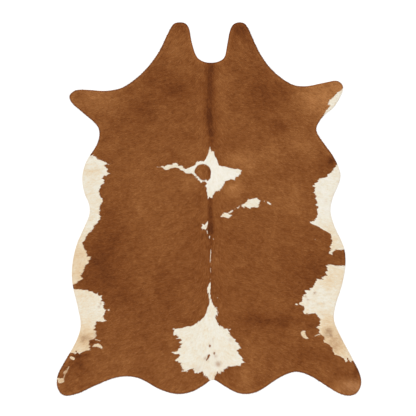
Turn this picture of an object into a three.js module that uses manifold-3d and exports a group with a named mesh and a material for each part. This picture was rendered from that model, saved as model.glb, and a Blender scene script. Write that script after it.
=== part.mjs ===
// Cowhide rug: one whole hide with the hair on, laid flat with the hair side up.
// Millimetres, +Z up. The neck points to +Y, the tail to -Y and the animal's back runs along Y.
// The origin is on the floor, under the middle of the hide's bounding box.
import * as THREE from "three";
import { mergeVertices } from "three/addons/utils/BufferGeometryUtils.js";
import Module from "manifold-3d";

// Driving sizes of the hide's section.
const SKIN = 2.5; // tanned skin, the same all over
const COAT_ON_BACK = 3.5; // hair lying down, above the skin
const COAT_AT_EDGE = 1.5;
const THINNING = 350; // width of the belt along the edge in which the coat thins

// The cut edge is upright at the floor and rounds over on the hair side.
const EDGE_UPRIGHT = 1;
const EDGE_ROUND_HEIGHT = 6.4;
const EDGE_ROUND_WIDTH = 16;
const EDGE_ROUND_STEPS = 5;

// Fineness of the solid.
const STEPS_PER_SPAN = 3;
const GRID_STEP = 75;
const GRID_MARGIN = 40;
const MERGE_WITHIN = 1e-4;

// The edge of the hide, a row for each landmark, counter-clockwise from the notch of the neck.
const EDGE = [
  { at: "neck notch", x: 15, y: 862 },
  { at: "neck notch, left corner", x: -30, y: 868 },
  { at: "left neck lobe, inner foot", x: -70, y: 895 },
  { at: "left neck lobe, inner side", x: -102, y: 985 },
  { at: "left neck lobe, inner corner", x: -119, y: 1068 },
  { at: "left neck lobe, inner top", x: -140, y: 1094 },
  { at: "left neck lobe, end", x: -175, y: 1100 },
  { at: "left neck lobe, outer top", x: -206, y: 1092 },
  { at: "left neck lobe, outer corner", x: -228, y: 1062 },
  { at: "left neck", x: -298, y: 921 },
  { at: "left neck root", x: -356, y: 841 },
  { at: "left shoulder, neck side", x: -430, y: 768 },
  { at: "left shoulder", x: -512, y: 715 },
  { at: "left foreleg, root", x: -610, y: 696 },
  { at: "left foreleg, front edge", x: -715, y: 702 },
  { at: "left foreleg, front corner", x: -785, y: 699 },
  { at: "left foreleg, end", x: -821, y: 668 },
  { at: "left foreleg, back corner", x: -812, y: 632 },
  { at: "left foreleg, back edge", x: -745, y: 570 },
  { at: "left armpit, front", x: -658, y: 490 },
  { at: "left armpit", x: -645, y: 444 },
  { at: "left armpit, back", x: -660, y: 380 },
  { at: "left brisket", x: -725, y: 273 },
  { at: "left brisket, widest", x: -746, y: 181 },
  { at: "left brisket, back", x: -733, y: 95 },
  { at: "left waist, front", x: -706, y: 27 },
  { at: "left waist", x: -704, y: -32 },
  { at: "left waist, back", x: -733, y: -105 },
  { at: "left belly, front", x: -780, y: -215 },
  { at: "left belly, widest", x: -806, y: -345 },
  { at: "left belly, back", x: -802, y: -450 },
  { at: "left flank", x: -772, y: -580 },
  { at: "left flank, narrowest", x: -755, y: -690 },
  { at: "left thigh, front", x: -784, y: -785 },
  { at: "left thigh", x: -850, y: -900 },
  { at: "left hind foot, front", x: -892, y: -985 },
  { at: "left hind foot, end", x: -893, y: -1050 },
  { at: "left hind foot, corner", x: -868, y: -1091 },
  { at: "left hind foot, back", x: -835, y: -1100 },
  { at: "left hind leg, back", x: -768, y: -1085 },
  { at: "left hind leg, inner", x: -665, y: -1038 },
  { at: "left hind bay, outer", x: -560, y: -996 },
  { at: "left hind bay", x: -480, y: -986 },
  { at: "left hind bay, inner", x: -405, y: -1000 },
  { at: "left buttock, outer", x: -290, y: -1062 },
  { at: "left buttock", x: -195, y: -1089 },
  { at: "left buttock, inner", x: -110, y: -1079 },
  { at: "tail notch, left side", x: -35, y: -1041 },
  { at: "tail notch", x: 22, y: -1006 },
  { at: "tail notch, right side", x: 90, y: -1042 },
  { at: "right buttock, inner", x: 160, y: -1080 },
  { at: "right buttock", x: 220, y: -1090 },
  { at: "right buttock, outer", x: 290, y: -1074 },
  { at: "right hind bay, inner", x: 420, y: -991 },
  { at: "right hind bay", x: 510, y: -959 },
  { at: "right hind bay, outer", x: 590, y: -980 },
  { at: "right hind leg, inner", x: 690, y: -1041 },
  { at: "right hind leg, back", x: 765, y: -1085 },
  { at: "right hind foot, back", x: 825, y: -1100 },
  { at: "right hind foot, corner", x: 868, y: -1086 },
  { at: "right hind foot, end", x: 894, y: -1043 },
  { at: "right hind foot, front", x: 892, y: -985 },
  { at: "right thigh", x: 838, y: -870 },
  { at: "right thigh, front", x: 768, y: -738 },
  { at: "right flank, narrowest", x: 735, y: -650 },
  { at: "right flank", x: 745, y: -568 },
  { at: "right belly, back", x: 782, y: -450 },
  { at: "right belly, widest", x: 804, y: -320 },
  { at: "right belly, front", x: 794, y: -225 },
  { at: "right waist, back", x: 737, y: -98 },
  { at: "right waist", x: 715, y: -10 },
  { at: "right waist, front", x: 728, y: 65 },
  { at: "right brisket, back", x: 762, y: 145 },
  { at: "right brisket, widest", x: 774, y: 192 },
  { at: "right brisket", x: 763, y: 247 },
  { at: "right brisket, front", x: 720, y: 328 },
  { at: "right armpit, back", x: 671, y: 394 },
  { at: "right armpit", x: 632, y: 470 },
  { at: "right armpit, front", x: 673, y: 547 },
  { at: "right foreleg, back edge", x: 735, y: 602 },
  { at: "right foreleg, back corner", x: 782, y: 682 },
  { at: "right foreleg, end", x: 788, y: 725 },
  { at: "right foreleg, front corner", x: 758, y: 754 },
  { at: "right foreleg, front edge", x: 680, y: 744 },
  { at: "right foreleg, root", x: 575, y: 724 },
  { at: "right shoulder", x: 495, y: 732 },
  { at: "right shoulder, neck side", x: 412, y: 783 },
  { at: "right neck root", x: 345, y: 849 },
  { at: "right neck", x: 290, y: 935 },
  { at: "right neck lobe, outer corner", x: 233, y: 1060 },
  { at: "right neck lobe, outer top", x: 212, y: 1091 },
  { at: "right neck lobe, end", x: 180, y: 1100 },
  { at: "right neck lobe, inner top", x: 146, y: 1089 },
  { at: "right neck lobe, inner corner", x: 126, y: 1057 },
  { at: "right neck lobe, inner side", x: 107, y: 965 },
  { at: "right neck lobe, inner foot", x: 90, y: 893 },
  { at: "neck notch, right corner", x: 56, y: 869 },
];

// The whole edge as one smooth closed curve, and the evenly stepped points along it.
function edgePoints() {
  const landmarks = EDGE.map(({ x, y }) => new THREE.Vector3(x, y, 0));
  const curve = new THREE.CatmullRomCurve3(landmarks, true, "centripetal");
  return curve.getPoints(EDGE.length * STEPS_PER_SPAN).slice(0, -1);
}

// Distance from a point to the nearest stretch of the edge.
function distanceToEdge(x, y, edge) {
  const point = new THREE.Vector3(x, y, 0);
  const nearest = new THREE.Vector3();
  let least = Infinity;
  edge.forEach((start, i) => {
    const stretch = new THREE.Line3(start, edge[(i + 1) % edge.length]);
    stretch.closestPointToPoint(point, true, nearest);
    least = Math.min(least, nearest.distanceTo(point));
  });
  return least;
}

// Height of the hair side above the floor: the coat thins towards the edge, faster the nearer it is.
function hairSide(x, y, edge) {
  const inward = THREE.MathUtils.clamp(distanceToEdge(x, y, edge) / THINNING, 0, 1);
  return SKIN + THREE.MathUtils.lerp(COAT_AT_EDGE, COAT_ON_BACK, 1 - (1 - inward) ** 2);
}

// A slab that covers the whole hide, flat on the floor, with the hair side as its top.
function slabGeometry(edge) {
  const box = new THREE.Box3().setFromPoints(edge).expandByScalar(GRID_MARGIN);
  const size = box.getSize(new THREE.Vector3());
  const middle = box.getCenter(new THREE.Vector3());
  const columns = Math.ceil(size.x / GRID_STEP);
  const rows = Math.ceil(size.y / GRID_STEP);
  const slab = new THREE.BoxGeometry(size.x, size.y, SKIN, columns, rows, 1);
  slab.translate(middle.x, middle.y, 0);
  const place = slab.attributes.position;
  for (let i = 0; i < place.count; i += 1) {
    const top = place.getZ(i) > 0;
    place.setZ(i, top ? hairSide(place.getX(i), place.getY(i), edge) : 0);
  }
  return slab;
}

// The outline stood up as a block whose upper rim rounds inward, reaching past the slab above and below.
function blockGeometry(edge) {
  const shape = new THREE.Shape(edge.map(({ x, y }) => new THREE.Vector2(x, y)));
  const block = new THREE.ExtrudeGeometry(shape, {
    depth: 2 * EDGE_UPRIGHT,
    steps: 1,
    bevelEnabled: true,
    bevelThickness: EDGE_ROUND_HEIGHT,
    bevelSize: EDGE_ROUND_WIDTH,
    bevelOffset: -EDGE_ROUND_WIDTH,
    bevelSegments: EDGE_ROUND_STEPS,
  });
  block.translate(0, 0, -EDGE_UPRIGHT);
  return block;
}

const wasm = await Module();
wasm.setup();

function toSolid(geometry) {
  const bare = new THREE.BufferGeometry();
  bare.setAttribute("position", geometry.getAttribute("position"));
  bare.setIndex(geometry.getIndex());
  const merged = mergeVertices(bare, MERGE_WITHIN);
  const mesh = new wasm.Mesh({
    numProp: 3,
    vertProperties: merged.getAttribute("position").array,
    triVerts: Uint32Array.from(merged.getIndex().array),
  });
  return new wasm.Manifold(mesh);
}

function toGeometry(solid) {
  const { vertProperties, triVerts } = solid.getMesh();
  const geometry = new THREE.BufferGeometry();
  geometry.setAttribute("position", new THREE.BufferAttribute(vertProperties, 3));
  geometry.setIndex(new THREE.BufferAttribute(triVerts, 1));
  geometry.computeVertexNormals();
  return geometry;
}

function makeHide() {
  const edge = edgePoints();
  const solid = toSolid(slabGeometry(edge)).intersect(toSolid(blockGeometry(edge)));
  const coat = new THREE.MeshStandardMaterial({ color: 0x85512b, roughness: 0.75, metalness: 0 });
  const hide = new THREE.Mesh(toGeometry(solid), coat);
  hide.name = "hide";
  return hide;
}

const rug = new THREE.Group();
rug.add(makeHide());

export default rug;
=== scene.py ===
"""The looks of a cowhide rug: its coat of short hair with the natural patches, and its sueded flesh side.

Everything is in metres in the row frame: the neck points to +Y, the hair side is up and the floor is at
z = 0.
"""
import math

import bmesh
import bpy
import numpy as np
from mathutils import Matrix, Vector
from mathutils.geometry import delaunay_2d_cdt


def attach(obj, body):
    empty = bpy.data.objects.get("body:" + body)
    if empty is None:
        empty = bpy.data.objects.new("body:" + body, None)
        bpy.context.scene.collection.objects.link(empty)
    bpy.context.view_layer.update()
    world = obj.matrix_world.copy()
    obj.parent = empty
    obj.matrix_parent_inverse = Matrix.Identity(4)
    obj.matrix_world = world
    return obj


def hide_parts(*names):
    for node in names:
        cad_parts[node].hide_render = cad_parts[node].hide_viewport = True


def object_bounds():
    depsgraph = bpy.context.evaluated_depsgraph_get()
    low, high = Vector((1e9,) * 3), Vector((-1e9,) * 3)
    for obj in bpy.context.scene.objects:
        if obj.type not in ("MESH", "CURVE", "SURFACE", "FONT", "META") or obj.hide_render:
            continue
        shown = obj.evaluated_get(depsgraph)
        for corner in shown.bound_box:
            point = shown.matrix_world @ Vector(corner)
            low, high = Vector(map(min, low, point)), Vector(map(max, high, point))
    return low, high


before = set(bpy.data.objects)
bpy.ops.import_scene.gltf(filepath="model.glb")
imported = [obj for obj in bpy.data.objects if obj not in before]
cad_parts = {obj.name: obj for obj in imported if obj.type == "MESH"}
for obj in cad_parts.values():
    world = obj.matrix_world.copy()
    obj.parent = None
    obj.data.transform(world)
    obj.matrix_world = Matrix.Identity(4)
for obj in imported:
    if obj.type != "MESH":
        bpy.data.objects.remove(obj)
cad_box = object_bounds()

# ---- sizes

# Section of the hide, as in the part's own solid.
SKIN = 0.0025
COAT_AT_EDGE = 0.0015
COAT_ON_BACK = cad_box[1].z - SKIN
THINNING = 0.350

# The coat's own surface lies a little below the solid's, and the locks of hair fill what is left.
LOCK_ROOM = 0.0007
SWELLS = [  # height, size and seed
    (0.00022, 0.09, 21),
    (0.00012, 0.03, 22),
]
SWELL_BELT = 0.03  # inside the edge, in which the swells fade out
SKIN_TOP = 0.0021
SKIN_ROUND = 0.0005
RIM = [  # how far in from the edge, and which share of the coat's height
    (0.0018, 1.00),
    (0.0010, 0.90),
    (0.0004, 0.66),
    (0.0001, 0.36),
    (0.0000, 0.00),
]

# Fineness of the coat's surface.
EDGE_POINTS_APART = 0.004  # at least, between points of the solid's edge
EDGE_STEPS = 4  # from one point of the solid's edge to the next
COARSE_PITCH = 0.0092
FINE_PITCH = 0.0033
FINE_BELT = 0.0085  # each side of a patch's border
RIM_CLEARANCE = 0.45  # of a pitch, between the lattice and the rim
SAME_PLACE = 1e-5  # closer than this, two points of the solid are one
MESH_TOLERANCE = 1e-7
PAIRS_AT_ONCE = 8_000_000  # of points and edge stretches, to keep the memory small

# The maps from above: their empty margin, how far apart the walls' rows lie, and where the hidden side goes.
MAP_MARGIN = 0.012
MAP_SPREAD = 0.0025
MAP_CORNER = (0.85, 0.02)
MAP_CORNER_SCALE = 0.14

# Locks of hair.
LOCK_SEED = 5
LOCK_PITCH = 0.0040
LOCK_LENGTH = (0.015, 0.023)
LOCK_LENGTH_AT_BORDER = 0.0115
LOCK_GAIN = 0.8  # in length, for each metre away from a border
LOCK_HALF_WIDTH = (0.00095, 0.00135)
LOCK_NARROWEST = 0.6  # share of the width that a short lock keeps
LOCK_JITTER = 0.45  # of the pitch
LOCK_SIDES_AT = 0.12  # share of a lock's length from the root
LOCK_RIDGE_AT = 0.30
LOCK_ROOT_DEPTH = 0.0004
LOCK_RIDGE_HEIGHT = 0.0006
LOCK_TIP_HEIGHT = (0.0001, 0.0009)
LOCK_STRAY = math.radians(9)
LOCK_INSET = 0.0016
LOCK_TONE = 0.15
PALE_HAIR = 0.012  # most that a brown lock has of white
OVERHANG = 0.0025
TRIMS = 3  # rounds of shortening the locks at the edge
TRIM = 1.05  # of what reaches too far
TRIM_LEAVES = 0.3  # of the length, at least
TRIM_BELT = 0.03
TIP_DROOP = 0.0007  # of a tip at the end of the overhang
CHART_MARGIN = 0.01
CHART_HALF_WIDTH = 0.004
CHART_TONES = (-0.12, -0.12, 0.0, 0.07)  # at a lock's two sides, ridge and tip

# How the hair runs: nearly tailward along the back, and out towards the belly and legs.
FLOW_ON_SPINE = math.radians(14)
FLOW_ON_SIDE = math.radians(76)
FLOW_TURN = 0.150  # out from the spine, where the turn is done
FLOW_SWIRL = math.radians(9)
FLOW_SWIRL_SIZE = 0.16
FLOW_AT_HIND = {"from": 0.75, "over": 0.25, "turn": math.radians(22)}
FLOW_AT_FRONT = {"from": 0.80, "over": 0.20, "turn": math.radians(40)}
PARTING = 0.006  # along the spine
FLOW_REACH = 1.2  # out from the spine, that the streaks are worked out for
FLOW_STEPS = 1201
SIDES_APART = 7.3  # between the streaks of the left side and the right

# ---- the coat's natural patches, in metres

# The borders of the white patches, each as a closed loop that goes round by the named stretches. A patch
# that runs out to the edge of the hide is closed beyond it. "ragged" is how far the border strays.
PATCHES = {
    "star": {
        "ragged": 0.0085,
        "top": [(0.006, 0.366), (0.002, 0.350), (-0.004, 0.326), (-0.013, 0.307), (-0.019, 0.292),
            (-0.028, 0.283)],
        "over the disc": [(-0.047, 0.276), (-0.067, 0.283), (-0.075, 0.273), (-0.080, 0.259),
            (-0.107, 0.247)],
        "left arm, root": [(-0.135, 0.235), (-0.152, 0.240), (-0.156, 0.254), (-0.178, 0.256),
            (-0.190, 0.267)],
        "left arm, tufts": [(-0.205, 0.271), (-0.216, 0.267), (-0.222, 0.257), (-0.238, 0.260),
            (-0.251, 0.258)],
        "left arm, end": [(-0.260, 0.249), (-0.282, 0.252), (-0.288, 0.247), (-0.266, 0.243),
            (-0.259, 0.230)],
        "left arm, below": [(-0.238, 0.232), (-0.220, 0.241), (-0.200, 0.245), (-0.186, 0.243),
            (-0.174, 0.234)],
        "left of the disc": [(-0.152, 0.228), (-0.142, 0.217), (-0.131, 0.209), (-0.110, 0.211),
            (-0.094, 0.205)],
        "under the disc": [(-0.072, 0.178), (-0.052, 0.160), (-0.046, 0.154), (-0.040, 0.161),
            (-0.034, 0.166)],
        "nub": [(-0.022, 0.163), (-0.010, 0.149), (-0.021, 0.137)],
        "tail": [(-0.013, 0.122), (-0.010, 0.092), (-0.009, 0.076), (-0.005, 0.062), (0.004, 0.070),
            (0.019, 0.061)],
        "tail, right side": [(0.025, 0.084), (0.036, 0.102), (0.062, 0.109), (0.070, 0.121), (0.088, 0.140)],
        "right arm, below": [(0.096, 0.159), (0.126, 0.177), (0.148, 0.171), (0.158, 0.181), (0.179, 0.194)],
        "right arm, end": [(0.188, 0.215), (0.195, 0.226), (0.167, 0.238), (0.149, 0.235)],
        "right arm, above": [(0.104, 0.245), (0.059, 0.256), (0.052, 0.270), (0.050, 0.284), (0.040, 0.303)],
        "top, right side": [(0.032, 0.318), (0.030, 0.332), (0.023, 0.342), (0.016, 0.336), (0.010, 0.348)],
    },
    "right of the spine": {
        "ragged": 0.0100,
        "upper side": [(0.188, 0.023), (0.207, 0.029), (0.216, 0.036), (0.232, 0.059), (0.240, 0.056),
            (0.254, 0.062)],
        "end": [(0.281, 0.067), (0.290, 0.057), (0.306, 0.045), (0.293, 0.040), (0.292, 0.028),
            (0.294, 0.014)],
        "lower side": [(0.281, 0.007), (0.270, 0.012), (0.250, 0.009), (0.243, 0.000), (0.220, 0.014)],
        "lower side, by the spine": [(0.207, 0.007), (0.197, 0.012)],
    },
    "small, right of the spine": {
        "ragged": 0.0030,
        "upper side": [(0.066, -0.049), (0.078, -0.033), (0.087, -0.021), (0.110, -0.023), (0.119, -0.033)],
        "lower side": [(0.137, -0.036), (0.126, -0.046), (0.114, -0.054), (0.101, -0.051), (0.085, -0.046)],
    },
    "small, left of the spine": {
        "ragged": 0.0015,
        "left side": [(-0.005, -0.070), (-0.025, -0.094), (-0.043, -0.087), (-0.037, -0.100),
            (-0.047, -0.112)],
        "below and right side": [(-0.037, -0.118), (-0.021, -0.121), (-0.012, -0.110), (-0.008, -0.092)],
    },
    "rump": {
        "ragged": 0.0170,
        "spire, left side": [(0.009, -0.418), (0.003, -0.443), (-0.011, -0.463), (-0.009, -0.484),
            (0.000, -0.494)],
        "spire, foot": [(0.001, -0.522), (0.005, -0.550), (-0.003, -0.571), (-0.011, -0.588),
            (-0.013, -0.608)],
        "left shoulder": [(-0.028, -0.637), (-0.057, -0.664), (-0.082, -0.678), (-0.110, -0.693),
            (-0.135, -0.693)],
        "left corner": [(-0.160, -0.703), (-0.185, -0.704), (-0.208, -0.703), (-0.198, -0.713),
            (-0.212, -0.724)],
        "left side, above": [(-0.201, -0.732), (-0.212, -0.747), (-0.192, -0.745), (-0.185, -0.756),
            (-0.170, -0.768)],
        "left side, jags": [(-0.155, -0.771), (-0.170, -0.784), (-0.155, -0.793), (-0.172, -0.806),
            (-0.166, -0.814)],
        "left side, spike": [(-0.181, -0.825), (-0.177, -0.834), (-0.220, -0.845), (-0.179, -0.853),
            (-0.172, -0.864)],
        "left side, below": [(-0.177, -0.877), (-0.201, -0.892), (-0.181, -0.903), (-0.164, -0.929),
            (-0.153, -0.940)],
        "left foot": [(-0.160, -0.955), (-0.142, -0.953), (-0.129, -0.963), (-0.121, -0.948),
            (-0.103, -0.942)],
        "tail, left side": [(-0.086, -0.948), (-0.077, -0.966), (-0.056, -0.968), (-0.036, -0.961),
            (-0.026, -0.981)],
        "beyond the edge": [(0.000, -1.002), (0.012, -1.030), (0.030, -1.020)],
        "tail, right side": [(0.030, -1.002), (0.039, -0.981), (0.052, -0.966), (0.074, -0.961),
            (0.095, -0.938)],
        "right foot": [(0.117, -0.929), (0.143, -0.925), (0.186, -0.929), (0.203, -0.901), (0.190, -0.868)],
        "right side": [(0.175, -0.853), (0.167, -0.838), (0.175, -0.830), (0.182, -0.814), (0.184, -0.801)],
        "right side, above": [(0.167, -0.791), (0.147, -0.765), (0.117, -0.732), (0.113, -0.724),
            (0.130, -0.709)],
        "right shoulder": [(0.087, -0.706), (0.082, -0.693), (0.054, -0.685), (0.050, -0.670),
            (0.035, -0.644)],
        "spire, right side": [(0.051, -0.609), (0.046, -0.601), (0.052, -0.588), (0.026, -0.570),
            (0.013, -0.532)],
        "spire, top": [(0.009, -0.517), (0.007, -0.488), (0.009, -0.463)],
    },
    "left brisket and waist": {
        "ragged": 0.0120,
        "top": [(-0.800, 0.330), (-0.694, 0.315), (-0.680, 0.320), (-0.661, 0.299), (-0.641, 0.285)],
        "inner side, above": [(-0.601, 0.272), (-0.588, 0.264), (-0.613, 0.260), (-0.607, 0.239),
            (-0.596, 0.235)],
        "inner side, spikes": [(-0.602, 0.217), (-0.582, 0.211), (-0.607, 0.195), (-0.624, 0.198),
            (-0.626, 0.178)],
        "inner side": [(-0.615, 0.158), (-0.638, 0.130), (-0.650, 0.098), (-0.645, 0.080), (-0.635, 0.063)],
        "waist": [(-0.624, 0.044), (-0.641, 0.026), (-0.644, -0.011), (-0.646, -0.033), (-0.640, -0.060)],
        "belly, running out": [(-0.661, -0.084), (-0.691, -0.118), (-0.717, -0.149), (-0.742, -0.199)],
        "belly, spike": [(-0.734, -0.228), (-0.714, -0.281), (-0.695, -0.280), (-0.717, -0.321),
            (-0.739, -0.354)],
        "end": [(-0.756, -0.394), (-0.744, -0.411), (-0.776, -0.433), (-0.800, -0.448), (-0.900, -0.447)],
    },
    "left flank and thigh": {
        "ragged": 0.0110,
        "top": [(-0.900, -0.473), (-0.797, -0.473), (-0.756, -0.475), (-0.720, -0.479), (-0.688, -0.490)],
        "inner corner": [(-0.666, -0.502), (-0.655, -0.496), (-0.643, -0.513), (-0.629, -0.508),
            (-0.634, -0.529)],
        "inner side": [(-0.625, -0.549), (-0.619, -0.574), (-0.605, -0.595), (-0.621, -0.617),
            (-0.619, -0.639)],
        "step": [(-0.605, -0.659), (-0.625, -0.665), (-0.657, -0.659), (-0.671, -0.689), (-0.676, -0.711)],
        "below the step": [(-0.666, -0.734), (-0.666, -0.752), (-0.679, -0.766)],
        "thigh": [(-0.707, -0.775), (-0.709, -0.799), (-0.704, -0.818), (-0.699, -0.834), (-0.724, -0.834)],
        "end": [(-0.745, -0.843), (-0.765, -0.854), (-0.778, -0.847), (-0.790, -0.855), (-0.815, -0.847)],
        "beyond the edge": [(-0.950, -0.860)],
    },
    "left thigh, sickle": {
        "ragged": 0.0012,
        "upper side": [(-0.689, -0.812), (-0.675, -0.797), (-0.654, -0.793), (-0.638, -0.801),
            (-0.627, -0.816)],
        "lower side": [(-0.630, -0.826), (-0.642, -0.818), (-0.658, -0.812)],
    },
    "right brisket and waist": {
        "ragged": 0.0095,
        "top": [(0.900, 0.300), (0.752, 0.266), (0.743, 0.242), (0.730, 0.226), (0.688, 0.187)],
        "inner side, above": [(0.651, 0.179), (0.635, 0.155), (0.607, 0.132), (0.627, 0.128),
            (0.618, 0.095)],
        "inner side": [(0.632, 0.069), (0.635, 0.021), (0.647, 0.016), (0.638, -0.016), (0.635, -0.032)],
        "spike": [(0.625, -0.068), (0.595, -0.079), (0.606, -0.090), (0.641, -0.100), (0.672, -0.123)],
        "belly": [(0.722, -0.150), (0.727, -0.179), (0.725, -0.205), (0.713, -0.224), (0.719, -0.236)],
        "hook": [(0.708, -0.264), (0.727, -0.269), (0.732, -0.252), (0.745, -0.238), (0.764, -0.241)],
        "end": [(0.798, -0.239), (0.900, -0.239)],
    },
    "right flank and thigh": {
        "ragged": 0.0130,
        "top": [(1.000, -0.335), (0.801, -0.335), (0.740, -0.335), (0.717, -0.326), (0.690, -0.335)],
        "belly": [(0.707, -0.348), (0.687, -0.374), (0.693, -0.390), (0.664, -0.406), (0.677, -0.416)],
        "inner corner": [(0.640, -0.414), (0.622, -0.435), (0.622, -0.453), (0.590, -0.480),
            (0.574, -0.479)],
        "inner side": [(0.572, -0.494), (0.549, -0.516), (0.543, -0.548), (0.528, -0.560), (0.559, -0.574)],
        "step": [(0.564, -0.595), (0.558, -0.616), (0.593, -0.620), (0.632, -0.616), (0.649, -0.642)],
        "below the step": [(0.654, -0.669), (0.641, -0.701), (0.648, -0.721), (0.652, -0.735),
            (0.662, -0.737)],
        "thigh": [(0.681, -0.758), (0.676, -0.785), (0.704, -0.795), (0.725, -0.821), (0.738, -0.856)],
        "end": [(0.772, -0.868), (0.793, -0.882), (0.807, -0.905), (0.822, -0.884), (0.838, -0.904),
            (0.853, -0.889)],
        "beyond the edge": [(1.000, -0.880)],
    },
    "right thigh, sickle": {
        "ragged": 0.0012,
        "upper side": [(0.540, -0.728), (0.550, -0.719), (0.567, -0.717), (0.567, -0.733), (0.573, -0.747)],
        "lower side": [(0.586, -0.762), (0.572, -0.766), (0.554, -0.756), (0.545, -0.744)],
    },
    "right foreleg": {
        "ragged": 0.0040,
        "inner side": [(0.793, 0.714), (0.780, 0.699), (0.757, 0.685), (0.741, 0.664), (0.728, 0.654),
            (0.710, 0.640)],
        "notch": [(0.703, 0.627), (0.699, 0.611), (0.708, 0.614), (0.717, 0.611)],
        "thin strip": [(0.703, 0.593), (0.687, 0.575), (0.679, 0.561), (0.676, 0.543)],
        "beyond the edge": [(0.700, 0.540), (0.760, 0.590), (0.830, 0.650), (0.830, 0.714)],
    },
}

# Small strokes of white hair in the brown and of brown hair in the white: from, to and half the width.
STROKE = ("x", "y", "to_x", "to_y", "half_width")
WHITE_STROKES = [
    (0.120, -0.022, 0.139, -0.010, 0.0038),
    (0.152, 0.000, 0.154, 0.001, 0.0018),
    (0.169, 0.006, 0.173, 0.008, 0.0034),
    (0.179, 0.015, 0.183, 0.018, 0.0015),
    (0.346, 0.039, 0.362, 0.028, 0.0042),
    (0.325, 0.046, 0.328, 0.046, 0.0016),
    (-0.011, -0.129, -0.008, -0.145, 0.0020),
    (0.0035, -0.160, 0.0035, -0.174, 0.0023),
    (0.026, -0.177, 0.028, -0.178, 0.0016),
    (0.011, -0.243, 0.008, -0.300, 0.0016),
    (0.008, -0.300, 0.007, -0.315, 0.0014),
    (0.0095, -0.350, 0.0098, -0.370, 0.0014),
    (0.050, -0.523, 0.052, -0.522, 0.0014),
    (-0.306, 0.246, -0.288, 0.247, 0.0008),
    (-0.088, 0.211, -0.051, 0.168, 0.0040),
    (-0.048, 0.166, -0.045, 0.163, 0.0062),
    (-0.040, 0.167, -0.006, 0.161, 0.0024),
    (-0.593, -0.594, -0.590, -0.596, 0.0042),
    (-0.811, -0.876, -0.799, -0.882, 0.0078),
    (-0.826, -0.930, -0.838, -0.955, 0.0032),
    (-0.842, -0.958, -0.850, -0.966, 0.0075),
    (-0.849, -0.975, -0.857, -0.999, 0.0030),
    (-0.867, -1.010, -0.876, -1.014, 0.0140),
    (-0.884, -1.001, -0.892, -1.000, 0.0050),
    (0.514, -0.561, 0.520, -0.562, 0.0038),
    (0.625, -0.178, 0.626, -0.180, 0.0018),
    (0.654, -0.737, 0.625, -0.748, 0.0022),
    (-0.668, -0.769, -0.642, -0.777, 0.0016),
    (0.657, 0.529, 0.661, 0.527, 0.0022),
]
BROWN_STROKES = [
    (-0.012, 0.200, -0.009, 0.190, 0.0190),
    (-0.011, 0.182, -0.009, 0.172, 0.0070),
    (0.0055, -0.804, 0.0055, -0.810, 0.0050),
    (0.031, -0.847, 0.031, -0.854, 0.0032),
    (0.001, -0.862, -0.004, -0.872, 0.0060),
    (0.000, -0.868, -0.014, -0.890, 0.0034),
    (-0.595, 0.249, -0.612, 0.254, 0.0050),
    (0.817, -0.882, 0.817, -0.885, 0.0045),
    (-0.782, -0.838, -0.782, -0.841, 0.0042),
]
DISC = {"x": -0.0368, "y": 0.2163, "radius": 0.0485, "ragged": 0.0008}  # the round brown spot in the star

# How the borders stray, as shares of "ragged": in jags along the hair and in bumps.
JAGS = [  # share, length, width and seed
    (0.6, 0.060, 0.0075, 11),
    (0.4, 0.030, 0.0040, 12),
]
BUMPS = [  # share, size and seed
    (0.14, 0.009, 13),
]
PATCH_MARGIN = 0.03  # round a patch, in which its border is looked for

# Single hairs of either colour lie across a border, this far out from it as a rule, in metres.
STRAY = 0.0015

# A shade adds its amount in the middle and fades out around it.
SHADE = ("x", "y", "reach_x", "reach_y", "amount")

# Share of brown hairs in the white coat: grey spots, smudges and soft borders.
GREY_SHADES = [
    (0.054, -0.914, 0.016, 0.015, 0.64),
    (0.006, -0.807, 0.009, 0.011, 0.34),
    (0.031, -0.851, 0.008, 0.010, 0.40),
    (-0.010, -0.884, 0.011, 0.014, 0.24),
    (0.039, -0.869, 0.011, 0.009, 0.34),
    (0.123, -0.771, 0.010, 0.012, 0.24),
    (0.024, -0.774, 0.004, 0.018, 0.28),
    (0.011, -0.778, 0.003, 0.014, 0.12),
    (-0.103, -0.786, 0.005, 0.005, 0.25),
    (-0.024, -0.880, 0.006, 0.008, 0.45),
    (-0.070, -0.945, 0.030, 0.022, 0.14),
    (-0.136, -0.955, 0.012, 0.010, 0.20),
    (0.623, -0.495, 0.0065, 0.0065, 0.66),
    (0.569, -0.516, 0.005, 0.006, 0.50),
    (0.583, -0.534, 0.008, 0.005, 0.50),
    (0.639, -0.561, 0.005, 0.005, 0.28),
    (0.677, -0.556, 0.005, 0.005, 0.22),
    (0.674, -0.625, 0.005, 0.005, 0.18),
    (0.706, -0.718, 0.020, 0.016, 0.37),
    (0.719, -0.745, 0.009, 0.009, 0.45),
    (0.690, -0.745, 0.016, 0.014, 0.28),
    (-0.730, -0.757, 0.026, 0.015, 0.21),
    (-0.745, -0.779, 0.008, 0.008, 0.30),
    (-0.690, -0.778, 0.016, 0.012, 0.50),
    (-0.718, -0.808, 0.006, 0.006, 0.25),
    (-0.668, -0.742, 0.010, 0.020, 0.35),
    (-0.638, -0.557, 0.005, 0.009, 0.55),
    (-0.647, -0.577, 0.005, 0.006, 0.60),
    (-0.710, -0.602, 0.006, 0.006, 0.15),
    (0.689, 0.041, 0.007, 0.009, 0.13),
    (0.670, 0.001, 0.006, 0.006, 0.08),
    (-0.019, -0.102, 0.005, 0.006, 0.42),
    (-0.690, 0.304, 0.009, 0.008, 0.20),
]

# Share of white hairs in the brown coat.
PALE_SHADES = [
    (0.850, -1.045, 0.065, 0.040, 0.045),
]

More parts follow.
